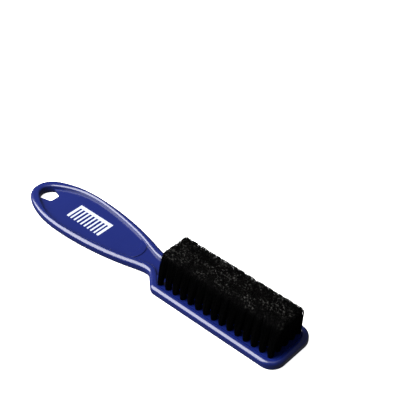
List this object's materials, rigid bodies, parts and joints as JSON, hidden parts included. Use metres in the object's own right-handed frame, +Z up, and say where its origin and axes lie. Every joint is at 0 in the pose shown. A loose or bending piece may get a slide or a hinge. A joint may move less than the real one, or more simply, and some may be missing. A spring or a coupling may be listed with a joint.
{
  "type": "fade brush",
  "caption": "Slim moulded barber's fade brush with a hanging hole, a recessed paddle grip with a printed comb mark, and a dense rectangular block of dark bristle tufts.",
  "frame": {"origin": "centre of the bounding box in plan, on the flat back of the brush, which lies on its back", "axes": "+X along the brush from the hanging end to the head, +Y across it, +Z up through the bristles"},
  "size_m": [0.17, 0.0299, 0.0235],
  "materials": {
    "body_plastic": "glossy moulded royal blue",
    "bristle": "black nylon filament",
    "anchor_metal": "plain drawn strip",
    "print_ink": "pad-printed white ink"
  },
  "bodies": {
    "root": {"brush_body": "body_plastic", "tuft_row_01": "bristle", "tuft_row_02": "bristle", "tuft_row_03": "bristle", "tuft_row_04": "bristle", "tuft_row_05": "bristle", "tuft_row_06": "bristle", "tuft_row_07": "bristle", "tuft_row_08": "bristle", "tuft_row_09": "bristle", "tuft_row_10": "bristle", "tuft_row_11": "bristle", "tuft_row_12": "bristle", "tuft_row_13": "bristle", "tuft_row_14": "bristle", "tuft_row_15": "bristle", "anchor_row_01": "anchor_metal", "anchor_row_02": "anchor_metal", "anchor_row_03": "anchor_metal", "anchor_row_04": "anchor_metal", "anchor_row_05": "anchor_metal", "anchor_row_06": "anchor_metal", "anchor_row_07": "anchor_metal", "anchor_row_08": "anchor_metal", "anchor_row_09": "anchor_metal", "anchor_row_10": "anchor_metal", "anchor_row_11": "anchor_metal", "anchor_row_12": "anchor_metal", "anchor_row_13": "anchor_metal", "anchor_row_14": "anchor_metal", "anchor_row_15": "anchor_metal", "printed_mark": "print_ink"}
  },
  "joints": []
}
